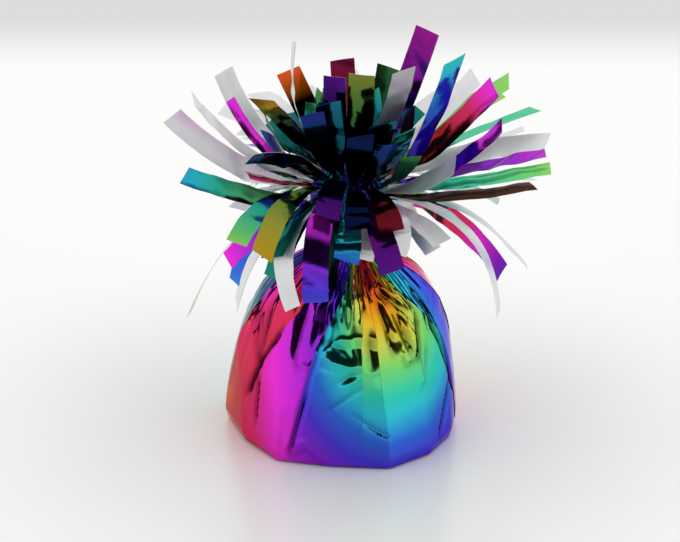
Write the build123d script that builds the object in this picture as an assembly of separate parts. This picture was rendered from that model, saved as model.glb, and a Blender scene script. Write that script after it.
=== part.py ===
from build123d import *
import math
import os

import numpy as np

# A foil balloon weight: a cast ballast slug stands in a sheet of metallised film. The film is drawn up
# round the slug, gathered into a pleated neck and tied, and above the tie it is slit into a fringe of
# strips that spread from a crown. Millimetres, +Z up, +X to the right, -Y to the front. The origin is
# on the floor under the middle of the slug.

# Foil wrap: outside radius over the pleat ridges, depth of the pleats, and rise from the row below
FLOOR_RADIUS = 31.2
FLOOR_PLEAT = 0.2
HEM_RISE = 2.5
HEM_RADIUS = 32.5
HEM_PLEAT = 0.4
SIDE_RISE = 19.5
SIDE_RADIUS = 30.4
SIDE_PLEAT = 0.6
SHOULDER_RISE = 12.0
SHOULDER_RADIUS = 26.0
SHOULDER_PLEAT = 1.2
SLOPE_RISE = 10.0
SLOPE_RADIUS = 19.0
SLOPE_PLEAT = 1.8
NECK_RISE = 8.0
NECK_RADIUS = 8.8
NECK_PLEAT = 1.3
NECK_LENGTH = 6.0
NECK_LEAN = 2.0  # the neck stands this far to the right of the slug's middle
PLEAT_COUNT = 14
FOIL_WALL = 0.5

# Ballast slug
SLUG_RISE = 7.0  # from the wrap's shoulder to the slug's flat top
SLUG_CLEARANCE = 0.4

# Gathered foil in the neck, with the round crown that the strips spread from
BUNCH_DEPTH = 5.0  # how far the gathered foil reaches down below the neck
BUNCH_CLEARANCE = 0.2
CROWN_RISE = 9.0  # from the top of the neck to the crown's middle
CROWN_RADIUS = 11.0

# Twist tie round the neck
TIE_WIDTH = 3.0
TIE_THICKNESS = 0.6
TIE_CLEARANCE = 0.1
TIE_TAIL_LENGTH = 9.0
TIE_TAIL_AZIMUTH = 75.0
TIE_TAIL_TWIST = 540.0
TIE_TAIL_STATIONS = 13

# Fringe strips
STRIP_WIDTH = 6.8
STRIP_THICKNESS = 0.2
STRIP_STATIONS = 9
ROOT_WIDTH = 1.6
ROOT_BEAD_RADIUS = 0.4
ROOT_GAP = 0.2
SPREAD_LENGTH = 16.0  # distance from the root over which a gathered strip opens to its full width
TURN_SHARE = 0.4  # share of a strip's length over which it turns

# Inner strips, which fill the crown between the strips of the table
INNER_CANDIDATES = 1400
INNER_LENGTH = 31.0
INNER_LENGTH_VARIES = 4.0
INNER_REACH = 17.0
INNER_LOWEST = 10.0
INNER_HIGHEST = 52.0
INNER_BACK_DROP = 26.0  # the lowest inner strips stand this much lower at the back
INNER_DROOP = 16.0
INNER_TURN = 25.0

# Front strips, shorter and closer, which rise or hang at the front of the crown
FRONT_AZIMUTH = 270.0
FRONT_LENGTH = 24.0
FRONT_LENGTH_VARIES = 4.0
FRONT_REACH = 11.0
FRONT_HIGHEST_TIP = 78.0
FRONT_TURN = 8.0
RISING_CANDIDATES = 700
RISING_SPREAD = 70.0  # they stand up to this far to either side of the front
RISING_FIRST = 14.0
RISING_LAST = 74.0
RISING_LIFTS = [12.0, 24.0, 0.0]
HANGING_CANDIDATES = 250
HANGING_SPREAD = 50.0
HANGING_FIRST = 12.0
HANGING_LAST = -6.0
HANGING_LIFTS = [-12.0, -24.0, 0.0]

GOLDEN_ANGLE = 137.508
STRIP_CLEARANCE = 1.0  # least distance between the sampled points of two strips
WRAP_CLEARANCE = 1.0
SAMPLES_ALONG = 40
SAMPLES_ACROSS = 7

# Each strip that stands clear of the bunch: azimuth and elevation of its root on the crown, length of
# straight run that sets its bend, tip from the crown's middle, turn of its width from root to tip, and
# the swing at its root down and up, or None where its neighbours hold it
STRIPS = {
    "tall_back_strip": (32, 51, 13, (21, 10, 44), 58, (-4, 8)),
    "blue_arch_strip": (-34, 26, 13, (27, -17, 44), -14, (-4, 5)),
    "grey_upper_right_strip": (13, 40, 15, (34, 7, 32), 22, None),
    "magenta_right_strip": (-13, 31, 14, (38, -9, 34), 46, (-5, 8)),
    "green_upper_right_strip": (30, 30, 21, (44, 19, 27), 4, None),
    "lime_right_strip": (46, 18, 21, (43, 33, 19), -6, None),
    "teal_right_strip": (7, 29, 23, (51, 12, 21), -5, None),
    "grey_edge_right_strip": (34, 10, 21, (49, 26, 11), -16, None),
    "white_right_strip": (12, 20, 23, (54, 7, 13), 32, None),
    "curled_right_strip": (-48, 18, 25, (39, -26, 29), 46, (-5, 4)),
    "lilac_right_strip": (-17, 19, 21, (52, -10, 16), 6, None),
    "dark_right_strip": (-34, 10, 21, (48, -22, 11), 8, None),
    "green_right_strip": (-9, 10, 23, (54, -5, 10), 10, (-3, 3)),
    "grey_low_right_strip": (24, 2, 23, (51, 15, 0), -8, None),
    "thin_arc_strip": (-19, 2, 29, (41, -6, -33), -8, (-6, 3)),
    "far_arc_strip": (4, 2, 21, (49, 6, -22), -2, (-4, 6)),
    "red_arc_strip": (18, -8, 19, (43, 11, -27), 28, (-6, 4)),
    "neck_right_strip": (-56, 9, 17, (12, -22, -8), 25, (-4, 4)),
    "dark_red_front_strip": (-67, 23, 13, (11, -27, 0), 8, None),
    "dark_front_strip": (-102, 36, 13, (-6, -30, 5), -10, None),
    "black_front_strip": (-86, 26, 13, (2, -28, 1), 0, None),
    "violet_front_strip": (-108, 16, 21, (-9, -32, -18), -20, (-1, 12)),
    "silver_front_strip": (-130, 2, 23, (-15, -29, -21), 4, None),
    "gold_front_strip": (-132, 22, 17, (-23, -27, -7), -10, (-1, 5)),
    "green_left_front_strip": (-146, 14, 17, (-30, -20, -6), -20, (-3, 4)),
    "blue_front_strip": (-89, 5, 17, (-1, -28, -8), 0, None),
    "silver_neck_strip": (-77, -6, 13, (3, -24, -9), 5, None),
    "pink_left_strip": (-156, -11, 17, (-33, -10, -15), -12, (-5, 2)),
    "needle_left_strip": (178, -8, 21, (-44, -3, -33), 8, (-6, 6)),
    "blue_left_strip": (170, -16, 19, (-32, 4, -27), -34, None),
    "white_low_left_strip": (154, -22, 19, (-32, 12, -37), -36, None),
    "teal_left_strip": (-170, 0, 15, (-44, -11, 10), -30, (-2, 6)),
    "white_left_strip": (172, 8, 21, (-48, 3, 22), -38, (-6, 4)),
    "edge_left_strip": (154, 10, 23, (-43, 15, 23), 20, None),
    "silver_left_strip": (-156, 24, 21, (-39, -13, 30), -22, None),
    "magenta_left_strip": (170, 24, 17, (-34, 5, 34), -14, (-4, 10)),
    "black_left_strip": (-132, 38, 19, (-26, -27, 20), 38, None),
    "orange_upper_left_strip": (-140, 50, 17, (-23, -20, 34), 22, None),
    "orange_top_strip": (130, 48, 19, (-17, 22, 29), -40, None),
    "needle_top_strip": (166, 50, 17, (-15, 16, 39), 24, (-8, 8)),
    "grey_top_strip": (112, 40, 19, (-13, 30, 22), 10, None),
    "purple_top_strip": (-112, 66, 17, (-4, -10, 37), -8, None),
    "plum_top_strip": (94, 50, 17, (-2, 26, 31), -8, None),
    "lime_top_strip": (-80, 56, 17, (3, -18, 40), -20, None),
    "green_top_strip": (60, 48, 17, (11, 22, 30), 35, None),
    "silver_top_strip": (-36, 60, 17, (14, -14, 40), -24, None),
}

# Inner strips are kept in two nodes, back and front; the front half of the crown begins here
INNER_FRONT_BEGINS = 180

# Heights that follow from the rises above
HEM_HEIGHT = HEM_RISE
SIDE_HEIGHT = HEM_HEIGHT + SIDE_RISE
SHOULDER_HEIGHT = SIDE_HEIGHT + SHOULDER_RISE
SLOPE_HEIGHT = SHOULDER_HEIGHT + SLOPE_RISE
NECK_HEIGHT = SLOPE_HEIGHT + NECK_RISE
NECK_TOP_HEIGHT = NECK_HEIGHT + NECK_LENGTH
TIE_HEIGHT = NECK_HEIGHT + NECK_LENGTH / 2
CROWN_HEIGHT = NECK_TOP_HEIGHT + CROWN_RISE
SLUG_HEIGHT = SHOULDER_HEIGHT + SLUG_RISE
BUNCH_FOOT_HEIGHT = NECK_HEIGHT - BUNCH_DEPTH


def wrap_rows():
    """Height, ridge radius and pleat depth of the wrap, from the floor up."""
    return [
        (0.0, FLOOR_RADIUS, FLOOR_PLEAT),
        (HEM_HEIGHT, HEM_RADIUS, HEM_PLEAT),
        (SIDE_HEIGHT, SIDE_RADIUS, SIDE_PLEAT),
        (SHOULDER_HEIGHT, SHOULDER_RADIUS, SHOULDER_PLEAT),
        (SLOPE_HEIGHT, SLOPE_RADIUS, SLOPE_PLEAT),
        (NECK_HEIGHT, NECK_RADIUS, NECK_PLEAT),
        (NECK_TOP_HEIGHT, NECK_RADIUS, NECK_PLEAT),
    ]


def wrap_at(height):
    """Ridge radius and pleat depth of the wrap at any height."""
    heights, radii, pleats = zip(*wrap_rows())
    return np.interp(height, heights, radii), np.interp(height, heights, pleats)


def lean_at(height):
    """How far the wrap's middle has moved to the right at a height."""
    return NECK_LEAN * min(1.0, height / NECK_HEIGHT) ** 2


def pleated_wire(height, radius, pleat):
    """Closed outline with one ridge and one valley for each pleat."""
    corners = []
    for step in range(2 * PLEAT_COUNT):
        angle = math.pi * step / PLEAT_COUNT
        reach = radius - (pleat if step % 2 else 0.0)
        corners.append((lean_at(height) + reach * math.cos(angle), reach * math.sin(angle), height))
    return Wire.make_polygon(corners, close=True)


def foil_wrap():
    """The sheet round the slug: a pleated bag with a flat floor and an open neck."""
    outer = Solid.make_loft([pleated_wire(*row) for row in wrap_rows()], ruled=True)
    inner_rows = [(FOIL_WALL, wrap_at(FOIL_WALL)[0], wrap_at(FOIL_WALL)[1])] + wrap_rows()[1:]
    inner = Solid.make_loft([pleated_wire(z, r - FOIL_WALL, p) for z, r, p in inner_rows], ruled=True)
    return outer - inner


def slug_radius(height):
    """Radius of the slug that clears the wrap's valleys at a height."""
    ridge, pleat = wrap_at(height)
    return ridge - pleat - FOIL_WALL - lean_at(height) - SLUG_CLEARANCE


def weight_slug():
    """The cast ballast: a turned slug that follows the inside of the wrap up to a flat top."""
    heights = [FOIL_WALL, HEM_HEIGHT, SIDE_HEIGHT, SHOULDER_HEIGHT, SLUG_HEIGHT]
    wall = [(float(slug_radius(height)), height) for height in heights]
    outline = Polyline((0, SLUG_HEIGHT), (0, FOIL_WALL), *wall, close=True)
    return revolve(Plane.XZ * make_face(outline), Axis.Z)


def neck_bunch():
    """The pleated foil gathered in the neck, ending in the round crown."""
    ridge = NECK_RADIUS - FOIL_WALL - BUNCH_CLEARANCE
    rows = [(BUNCH_FOOT_HEIGHT, ridge, NECK_PLEAT), (CROWN_HEIGHT - CROWN_RADIUS / 2, ridge, NECK_PLEAT)]
    wires = [pleated_wire(*row).moved(Location((NECK_LEAN - lean_at(row[0]), 0, 0))) for row in rows]
    crown = Solid.make_sphere(CROWN_RADIUS).moved(Location((NECK_LEAN, 0, CROWN_HEIGHT)))
    return Solid.make_loft(wires, ruled=True) + crown


def neck_tie():
    """A flat tie round the neck, its two ends twisted together into a short tail."""
    inner = NECK_RADIUS + TIE_CLEARANCE
    outer = inner + TIE_THICKNESS
    ring = Solid.make_cylinder(outer, TIE_WIDTH) - Solid.make_cylinder(inner, TIE_WIDTH)
    ring = ring.moved(Location((NECK_LEAN, 0, TIE_HEIGHT - TIE_WIDTH / 2)))
    wires = []
    for station in range(TIE_TAIL_STATIONS):
        share = station / (TIE_TAIL_STATIONS - 1)
        across = Plane(origin=(inner + TIE_THICKNESS / 2 + share * TIE_TAIL_LENGTH, 0, 0), z_dir=(1, 0, 0))
        section = Rectangle(2 * TIE_THICKNESS, TIE_WIDTH / 2, rotation=share * TIE_TAIL_TWIST)
        wires.append((across * section).face().outer_wire())
    tail = Solid.make_loft(wires, ruled=True)
    tail = tail.moved(Location((NECK_LEAN, 0, TIE_HEIGHT), (0, 0, TIE_TAIL_AZIMUTH)))
    return ring + tail


def direction(azimuth, elevation):
    """Unit vector from an azimuth, from +X towards +Y, and an elevation, in degrees."""
    a, e = math.radians(azimuth), math.radians(elevation)
    return np.array([math.cos(e) * math.cos(a), math.cos(e) * math.sin(a), math.sin(e)])


def unit(vectors):
    return vectors / np.linalg.norm(vectors, axis=-1, keepdims=True)


def turned(vectors, axis, degrees):
    """Vectors turned about an axis, or each about its own, by the right-hand rule."""
    a = np.radians(degrees)
    along = (vectors * axis).sum(axis=-1, keepdims=True) * axis
    return along + (vectors - along) * np.cos(a) + np.cross(axis, vectors) * np.sin(a)


class Strip:
    """One strip of the fringe: a bent, turned ribbon that starts at a rolled root on the crown."""

    def __init__(self, azimuth, elevation, reach, tip, turn, swing=None):
        self.azimuth, self.elevation, self.turn, self.swing = azimuth, elevation, turn, swing
        start = direction(azimuth, elevation)
        middle = np.array([NECK_LEAN, 0, CROWN_HEIGHT])
        self.root = middle + start * (CROWN_RADIUS + ROOT_GAP + ROOT_BEAD_RADIUS)
        self.bend = self.root + start * reach
        self.tip = middle + np.array(tip, float)
        self.level = np.array([-math.sin(math.radians(azimuth)), math.cos(math.radians(azimuth)), 0.0])
        self.lift_axis = -self.level

    def stations(self, shares):
        """Middles, half widths as vectors, and unit normals at shares of the way to the tip."""
        t = np.array(shares)[:, None]
        middles = (1 - t) ** 2 * self.root + 2 * t * (1 - t) * self.bend + t**2 * self.tip
        runs = unit((1 - t) * (self.bend - self.root) + t * (self.tip - self.bend))
        levels = unit(self.level - runs * (runs @ self.level)[:, None])
        across = turned(levels, runs, self.turn * np.minimum(1.0, t / TURN_SHARE))
        opened = np.minimum(1.0, np.linalg.norm(middles - self.root, axis=1) / SPREAD_LENGTH)
        halves = (ROOT_WIDTH + (STRIP_WIDTH - ROOT_WIDTH) * opened) / 2
        return middles, across * halves[:, None], np.cross(runs, across)

    def samples(self, swing=0.0):
        """Points over the ribbon, with the root swung by an angle."""
        middles, halves, _ = self.stations(np.linspace(0, 1, SAMPLES_ALONG))
        places = np.linspace(-1, 1, SAMPLES_ACROSS)[:, None]
        points = np.vstack([middle + half * places for middle, half in zip(middles, halves)])
        return self.root + turned(points - self.root, self.lift_axis, swing)

    def reached(self):
        """Points over the ribbon at rest and at both ends of its swing."""
        return np.vstack([self.samples(angle) for angle in (0.0, *(self.swing or ()))])

    def solid(self):
        """The ribbon as a ruled loft, fused to the rolled root that it hinges on."""
        middles, halves, normals = self.stations(np.linspace(0, 1, STRIP_STATIONS))
        wires = []
        for middle, half, thick in zip(middles, halves, normals * STRIP_THICKNESS / 2):
            corners = [middle - half - thick, middle + half - thick, middle + half + thick, middle - half + thick]
            wires.append(Wire.make_polygon([tuple(map(float, c)) for c in corners], close=True))
        bead_start = tuple(map(float, self.root - halves[0]))
        bead_plane = Plane(origin=bead_start, z_dir=tuple(map(float, unit(halves[0]))))
        bead = Solid.make_cylinder(ROOT_BEAD_RADIUS, ROOT_WIDTH, bead_plane)
        return Solid.make_loft(wires, ruled=True) + bead


def clears(points, taken):
    """True if a ribbon's points keep clear of the wrap and of the points already taken."""
    radius = np.hypot(points[:, 0] - NECK_LEAN, points[:, 1])
    wrap = np.where(points[:, 2] < NECK_TOP_HEIGHT, wrap_at(points[:, 2])[0] + NECK_LEAN, 0.0)
    if np.any(radius < wrap + WRAP_CLEARANCE):
        return False
    low, high = points.min(axis=0) - STRIP_CLEARANCE, points.max(axis=0) + STRIP_CLEARANCE
    near = taken[np.all((taken > low) & (taken < high), axis=1)]
    squares = (points**2).sum(axis=1)[:, None] + (near**2).sum(axis=1)[None, :] - 2 * points @ near.T
    return squares.size == 0 or squares.min() > STRIP_CLEARANCE**2


def front_candidates(count, spread, first, last, lifts):
    """Strips over the front of the crown, from a first to a last elevation, each tried at several lifts."""
    for index in range(count):
        aside = spread * (2 * ((index * GOLDEN_ANGLE / 360) % 1) - 1)
        azimuth = (FRONT_AZIMUTH + aside) % 360
        elevation = first + (last - first) * index / (count - 1)
        length = FRONT_LENGTH + FRONT_LENGTH_VARIES * math.sin(index)
        for lift in lifts:
            tip = direction(azimuth, min(FRONT_HIGHEST_TIP, elevation + lift)) * (CROWN_RADIUS + length)
            yield Strip(azimuth, elevation, FRONT_REACH, tip, FRONT_TURN * math.sin(2 * index))


def inner_candidates():
    """Strips spread evenly round the crown, from its top down."""
    high = math.sin(math.radians(INNER_HIGHEST))
    for index in range(INNER_CANDIDATES):
        azimuth = (index * GOLDEN_ANGLE) % 360
        lowest = INNER_LOWEST - INNER_BACK_DROP * max(0.0, math.sin(math.radians(azimuth)))
        low = math.sin(math.radians(lowest))
        elevation = math.degrees(math.asin(high - (high - low) * index / (INNER_CANDIDATES - 1)))
        length = INNER_LENGTH + INNER_LENGTH_VARIES * math.sin(index)
        droop = INNER_DROOP * math.cos(math.radians(elevation))
        tip = direction(azimuth, elevation - droop) * (CROWN_RADIUS + length)
        yield Strip(azimuth, elevation, INNER_REACH, tip, INNER_TURN * math.sin(2 * index))


def inner_strips(standing):
    """Strips that fill the crown, wherever they clear all that stands there already."""
    taken = np.vstack([strip.reached() for strip in standing])
    rising = front_candidates(RISING_CANDIDATES, RISING_SPREAD, RISING_FIRST, RISING_LAST, RISING_LIFTS)
    hanging = front_candidates(HANGING_CANDIDATES, HANGING_SPREAD, HANGING_FIRST, HANGING_LAST, HANGING_LIFTS)
    kept = []
    for candidates in (rising, hanging, inner_candidates()):
        for strip in candidates:
            points = strip.samples()
            root_points = points[: 4 * SAMPLES_ACROSS]  # tried first, because most fail there
            if clears(root_points, taken) and clears(points, taken):
                taken = np.vstack([taken, points])
                kept.append(strip)
    return kept


def inner_node(strip):
    """Name of the node that an inner strip belongs to."""
    half = "front" if strip.azimuth >= INNER_FRONT_BEGINS else "back"
    return f"{half}_inner_fringe"


def main():
    os.makedirs("parts", exist_ok=True)
    nodes = {
        "weight_slug": weight_slug(),
        "foil_wrap": foil_wrap(),
        "neck_bunch": neck_bunch(),
        "neck_tie": neck_tie(),
    }
    standing = {name: Strip(*row) for name, row in STRIPS.items()}
    nodes.update({name: strip.solid() for name, strip in standing.items()})
    groups = {}
    for strip in inner_strips(standing.values()):
        groups.setdefault(inner_node(strip), []).append(strip.solid())
    nodes.update({name: Compound(children=solids) for name, solids in groups.items()})
    for name, shape in nodes.items():
        export_step(shape, f"parts/{name}.step")
    print(len(nodes), "nodes,", sum(len(solids) for solids in groups.values()), "inner strips")


if __name__ == "__main__":
    main()
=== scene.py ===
import math
from collections import namedtuple

import bpy
import numpy as np
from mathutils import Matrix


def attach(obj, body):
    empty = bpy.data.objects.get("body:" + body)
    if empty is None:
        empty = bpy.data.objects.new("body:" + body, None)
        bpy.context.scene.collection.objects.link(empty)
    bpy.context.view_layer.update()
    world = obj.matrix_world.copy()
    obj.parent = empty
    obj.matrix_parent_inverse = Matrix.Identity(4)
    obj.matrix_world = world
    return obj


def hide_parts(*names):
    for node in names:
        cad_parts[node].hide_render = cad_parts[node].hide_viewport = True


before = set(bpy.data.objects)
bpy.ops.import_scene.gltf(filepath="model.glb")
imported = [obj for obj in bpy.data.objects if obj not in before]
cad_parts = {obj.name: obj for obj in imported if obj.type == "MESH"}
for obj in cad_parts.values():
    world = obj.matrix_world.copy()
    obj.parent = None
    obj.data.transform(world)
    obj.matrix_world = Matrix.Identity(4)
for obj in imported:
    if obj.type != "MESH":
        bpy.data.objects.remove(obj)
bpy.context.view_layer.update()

# Sizes are in millimetres and degrees, as in the part's source, and go into the meshes in metres.
MM = 0.001
CROWN_MIDDLE = np.array([2.0, 0.0, 67.0])
CROWN_RADIUS = 11.0
ROOT_REACH = 11.6
STRIP_WIDTH = 6.8
ROOT_WIDTH = 1.6
SPREAD_LENGTH = 16.0
TURN_SHARE = 0.4
FILM_THICKNESS = 0.08
NECK_LEAN = 2.0
NECK_HEIGHT = 52.0
NECK_TOP = 58.0
RAINBOW_PERIOD = 88.0  # distance on the flat film over which the rainbow repeats
RAINBOW_TURN = 60.0

VIEW_RISE = 22.0  # the photograph looks down by this much
VIEW_DISTANCE = 0.62
VIEW_TARGET = np.array([-0.0006, 0.0, 0.045])
VIEW_LENS = 118.8
TO_CAMERA = np.array([0.0, -math.cos(math.radians(VIEW_RISE)), math.sin(math.radians(VIEW_RISE))])

# Floor, in metres: where its far band begins and ends, and where its painted glow fades in, with its
# strength. Tent, in degrees: angles from the camera over which its opening fades out, and heights over
# which it begins above the floor
FLOOR_SIZE = 6
FLOOR_COLOUR = (253, 253, 252)
FAR_COLOUR = (201, 203, 200)
FAR_BAND = (0.33, 0.43)
GLOW_REACH = (0.05, 0.14)
PAINTED_GLOW = 0.08
OPENING_EDGE = (20, 44)
OPENING_SILL = (3, 8)
OPENING_LIGHT = 0.02

# Strips that can be told apart: root azimuth and elevation, reach, tip from the crown's middle, turn,
# swing, then the side that faces the front and the place in the rainbow at the root and at the tip
STRIPS = {
    "tall_back": (32, 51, 13, (21, 10, 44), 58, (-4, 8), "print", 0.30, 0.16),
    "blue_arch": (-34, 26, 13, (27, -17, 44), -14, (-4, 5), "print", 0.28, 0.53),
    "grey_upper_right": (13, 40, 15, (34, 7, 32), 22, None, "silver", 0.40, 0.60),
    "magenta_right": (-13, 31, 14, (38, -9, 34), 46, (-5, 8), "print", -0.10, 0.17),
    "green_upper_right": (30, 30, 21, (44, 19, 27), 4, None, "print", 0.60, 0.67),
    "lime_right": (46, 18, 21, (43, 33, 19), -6, None, "print", 0.66, 0.68),
    "teal_right": (7, 29, 23, (51, 12, 21), -5, None, "print", 0.58, 0.60),
    "grey_edge_right": (34, 10, 21, (49, 26, 11), -16, None, "silver", 0.60, 0.80),
    "white_right": (12, 20, 23, (54, 7, 13), 32, None, "silver", 0.10, 0.30),
    "curled_right": (-48, 18, 25, (39, -26, 29), 46, (-5, 4), "silver", 0.12, 0.22),
    "lilac_right": (-17, 19, 21, (52, -10, 16), 6, None, "print", 0.30, 0.20),
    "dark_right": (-34, 10, 21, (48, -22, 11), 8, None, "print", 0.86, 0.92),
    "green_right": (-9, 10, 23, (54, -5, 10), 10, (-3, 3), "print", 0.56, 0.67),
    "grey_low_right": (24, 2, 23, (51, 15, 0), -8, None, "silver", 0.50, 0.62),
    "thin_arc": (-19, 2, 29, (41, -6, -33), -8, (-6, 3), "silver", 0.50, 0.70),
    "far_arc": (4, 2, 21, (49, 6, -22), -2, (-4, 6), "silver", 0.20, 0.40),
    "red_arc": (18, -8, 19, (43, 11, -27), 28, (-6, 4), "print", 0.96, 1.29),
    "neck_right": (-56, 9, 17, (12, -22, -8), 25, (-4, 4), "silver", 0.26, 0.30),
    "dark_red_front": (-67, 23, 13, (11, -27, 0), 8, None, "print", 0.97, 1.02),
    "dark_front": (-102, 36, 13, (-6, -30, 5), -10, None, "print", 0.34, 0.26),
    "black_front": (-86, 26, 13, (2, -28, 1), 0, None, "print", 0.44, 0.38),
    "violet_front": (-108, 16, 21, (-9, -32, -18), -20, (-1, 12), "print", 0.14, 0.37),
    "silver_front": (-130, 2, 23, (-15, -29, -21), 4, None, "silver", 0.30, 0.50),
    "gold_front": (-132, 22, 17, (-23, -27, -7), -10, (-1, 5), "print", 0.66, 0.79),
    "green_left_front": (-146, 14, 17, (-30, -20, -6), -20, (-3, 4), "print", 0.50, 0.68),
    "blue_front": (-89, 5, 17, (-1, -28, -8), 0, None, "print", 0.58, 0.42),
    "silver_neck": (-77, -6, 13, (3, -24, -9), 5, None, "silver", 0.30, 0.40),
    "pink_left": (-156, -11, 17, (-33, -10, -15), -12, (-5, 2), "print", 0.30, 0.14),
    "needle_left": (178, -8, 21, (-44, -3, -33), 8, (-6, 6), "silver", 0.60, 0.80),
    "blue_left": (170, -16, 19, (-32, 4, -27), -34, None, "print", 0.36, 0.44),
    "white_low_left": (154, -22, 19, (-32, 12, -37), -36, None, "silver", 0.40, 0.60),
    "teal_left": (-170, 0, 15, (-44, -11, 10), -30, (-2, 6), "print", 0.66, 0.49),
    "white_left": (172, 8, 21, (-48, 3, 22), -38, (-6, 4), "silver", 0.20, 0.40),
    "edge_left": (154, 10, 23, (-43, 15, 23), 20, None, "silver", 0.20, 0.30),
    "silver_left": (-156, 24, 21, (-39, -13, 30), -22, None, "silver", 0.30, 0.20),
    "magenta_left": (170, 24, 17, (-34, 5, 34), -14, (-4, 10), "print", 0.16, 0.18),
    "black_left": (-132, 38, 19, (-26, -27, 20), 38, None, "print", 0.40, 0.46),
    "orange_upper_left": (-140, 50, 17, (-23, -20, 34), 22, None, "print", 0.50, 0.84),
    "orange_top": (130, 48, 19, (-17, 22, 29), -40, None, "print", 0.84, 0.93),
    "needle_top": (166, 50, 17, (-15, 16, 39), 24, (-8, 8), "silver", 0.60, 0.80),
    "grey_top": (112, 40, 19, (-13, 30, 22), 10, None, "silver", 0.30, 0.50),
    "purple_top": (-112, 66, 17, (-4, -10, 37), -8, None, "print", 0.34, 0.27),
    "plum_top": (94, 50, 17, (-2, 26, 31), -8, None, "print", 0.02, 0.10),
    "lime_top": (-80, 56, 17, (3, -18, 40), -20, None, "print", 0.60, 0.72),
    "green_top": (60, 48, 17, (11, 22, 30), 35, None, "print", 0.60, 0.64),
    "silver_top": (-36, 60, 17, (14, -14, 40), -24, None, "silver", 0.44, 0.72),
}

# Painted shade on the strips' print, as how light it stays at the root and at the tip: on most strips, and
# on those painted darker as shade. A root below zero keeps the strip black for longer
PLAIN_PAINTED_SHADE = (0.9, 1.0)
STRIP_PAINTED_SHADE = {
    "tall_back": (0.30, 0.48),
    "blue_arch": (0.10, 0.90),
    "magenta_right": (0.15, 1.00),
    "lilac_right": (0.40, 1.00),
    "red_arc": (0.95, 0.60),
    "dark_right": (0.03, 0.08),
    "dark_red_front": (0.05, 0.20),
    "dark_front": (0.05, 0.20),
    "black_front": (0.02, 0.06),
    "violet_front": (0.50, 1.00),
    "gold_front": (0.15, 0.55),
    "green_left_front": (0.25, 0.80),
    "blue_front": (0.30, 0.80),
    "teal_left": (0.15, 0.80),
    "black_left": (0.06, 0.50),
    "orange_upper_left": (0.02, 0.60),
    "orange_top": (-0.90, 0.95),
    "purple_top": (0.05, 0.28),
    "plum_top": (0.10, 0.22),
    "lime_top": (0.05, 0.34),
    "green_top": (0.08, 0.20),
}

# Strips whose film twists a little more than its solid, in degrees
MORE_TURN = {"red_arc": 25, "magenta_left": -22}

# Strips that show their other side beyond a fold, with the fold's share of their length, and strips creased
# along their length: half the width shows the other side from the first share, all of it from the last
FOLDS = {"curled_right": 0.62}
CREASED = ["magenta_left"]
CREASE_DEPTH = 0.5
CREASE_FIRST = 0.3
CREASE_LAST = 0.84

# Film of a strip: columns and rows of faces, slant of the cut tip as a share of the length, cupping at the
# root and beyond it, and kinks, whose half length is a share of the strip's
STRIP_COLUMNS = 6
STRIP_ROWS = 30
INNER_ROWS = 22
TIP_SLANT = 0.035
ROOT_CUP = 0.9
STRIP_CUP = 0.35
KINK_COUNT = 5
KINK_SIZE = 0.4
KINK_HALF = 0.08
KINK_SLANT = 0.07

# Inner strips follow the part's source
INNER_CANDIDATES = 1400
INNER_LENGTH = 31.0
INNER_LENGTH_VARIES = 4.0
INNER_REACH = 17.0
INNER_LOWEST = 10.0
INNER_HIGHEST = 52.0
INNER_BACK_DROP = 26.0
INNER_DROOP = 16.0
INNER_TURN = 25.0
GOLDEN_ANGLE = 137.508
STRIP_CLEARANCE = 1.0
WRAP_CLEARANCE = 1.0
INNER_HALVES = ["back", "front"]
SAMPLES_ALONG = 40
SAMPLES_ACROSS = 7
SAMPLES_AT_ROOT = 28  # these are tried first, because most strips that meet do so there

FRONT_AZIMUTH = 270.0
FRONT_LENGTH = 24.0
FRONT_LENGTH_VARIES = 4.0
FRONT_REACH = 11.0
FRONT_HIGHEST_TIP = 78.0
FRONT_TURN = 8.0
RISING_CANDIDATES = 700
RISING_SPREAD = 70.0
RISING_FIRST = 14.0
RISING_LAST = 74.0
RISING_LIFTS = [12.0, 24.0, 0.0]
HANGING_CANDIDATES = 250
HANGING_SPREAD = 50.0
HANGING_FIRST = 12.0
HANGING_LAST = -6.0
HANGING_LIFTS = [-12.0, -24.0, 0.0]

# Look of the inner strips. Painted shade: how light the print stays at the darkest roots. In front: places
# in the rainbow, and where the hanging ones turn silver and the left ones red. At the back: where the roots
# are painted dark as shade, the share of the others that shows its print, how light their print stays at
# root and tip as painted shade, and the distances of root and tip from the middle of the flat sheet
DEEP_PAINTED_SHADE = 0.04
DARK_ROOTS = (0.36, 0.56)
DARK_TIPS = (0.36, 0.68)
PURPLE = (0.20, 0.27)
RED = (0.0, 0.08)
SILVER_FROM = FRONT_AZIMUTH + 30
RED_UP_TO = FRONT_AZIMUTH - 62
RED_BELOW = 22.0
DARK_BACK_ABOVE = 24.0
BACK_PRINT_SHARE = 0.3
BACK_PAINTED_SHADE = (0.5, 0.9)
ROOT_ON_SHEET = 98.0
TIP_ON_SHEET = 145.0

# Wrap of the part's source: height and radius over the ridges, to keep the inner strips clear of it
CLEAR_HEIGHTS = [0.0, 2.5, 22.0, 34.0, 44.0, 52.0, 58.0]
CLEAR_RADII = [31.2, 32.5, 30.4, 26.0, 19.0, 8.8, 8.8]


def direction(azimuth, elevation):
    a, e = math.radians(azimuth), math.radians(elevation)
    return np.array([math.cos(e) * math.cos(a), math.cos(e) * math.sin(a), math.sin(e)])


def unit(vectors):
    return vectors / np.linalg.norm(vectors, axis=-1, keepdims=True)


def turned(vectors, axis, degrees):
    """Vectors turned about an axis, or each about its own axis, by the right-hand rule."""
    a = np.radians(degrees)[..., None] if np.ndim(degrees) else math.radians(degrees)
    along = (vectors * axis).sum(axis=-1, keepdims=True) * axis
    return along + (vectors - along) * np.cos(a) + np.cross(axis, vectors) * np.sin(a)


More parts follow.
